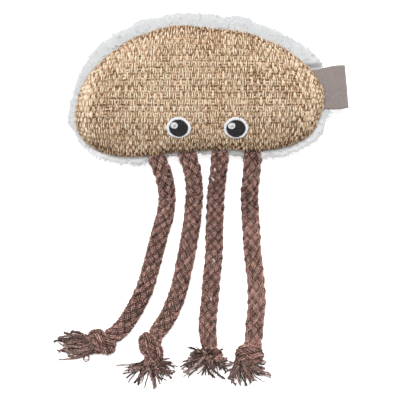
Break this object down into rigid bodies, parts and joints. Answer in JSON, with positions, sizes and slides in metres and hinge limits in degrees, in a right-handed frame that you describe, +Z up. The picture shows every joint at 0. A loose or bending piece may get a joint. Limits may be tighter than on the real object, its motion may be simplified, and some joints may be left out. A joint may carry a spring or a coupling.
{
  "type": "plush jellyfish cat toy",
  "caption": "Small stuffed jellyfish for a cat: a cushioned bell with a woven front, a white plush back and embroidered eyes, and braided rope tentacles knotted and frayed at their ends.",
  "frame": {"origin": "middle of the flat spot under the plush back that the toy lies on", "axes": "+Z up, out of the woven front with the eyes; +Y towards the top of the bell, so the tentacles run towards -Y; +X towards the folded side tab"},
  "size_m": [0.1466, 0.1868, 0.042],
  "materials": {
    "woven_cloth": "coarse beige and brown basket weave, matte",
    "plush": "white deep-pile plush, matte",
    "fibre": "loose polyester fibre",
    "thread": "polyester sewing thread",
    "cotton": "braided brown cotton yarn, matte",
    "white_stitching": "satin stitch with a slight sheen",
    "black_stitching": "satin stitch with a slight sheen",
    "ribbon": "finely woven taupe ribbon"
  },
  "bodies": {
    "root": {"back_panel": "plush", "fibre_filling": "fibre", "front_panel": "woven_cloth", "left_eye_glint": "white_stitching", "left_eye_pupil": "black_stitching", "left_eye_ring": "white_stitching", "right_eye_glint": "white_stitching", "right_eye_pupil": "black_stitching", "right_eye_ring": "white_stitching", "seam_thread": "thread", "side_tab": "ribbon", "tentacle_1_knot": "cotton", "tentacle_1_rope": "cotton", "tentacle_1_tassel": "cotton", "tentacle_2_knot": "cotton", "tentacle_2_rope": "cotton", "tentacle_2_tassel": "cotton", "tentacle_3_knot": "cotton", "tentacle_3_rope": "cotton", "tentacle_3_tassel": "cotton", "tentacle_4_knot": "cotton", "tentacle_4_rope": "cotton", "tentacle_4_tassel": "cotton"}
  },
  "joints": []
}
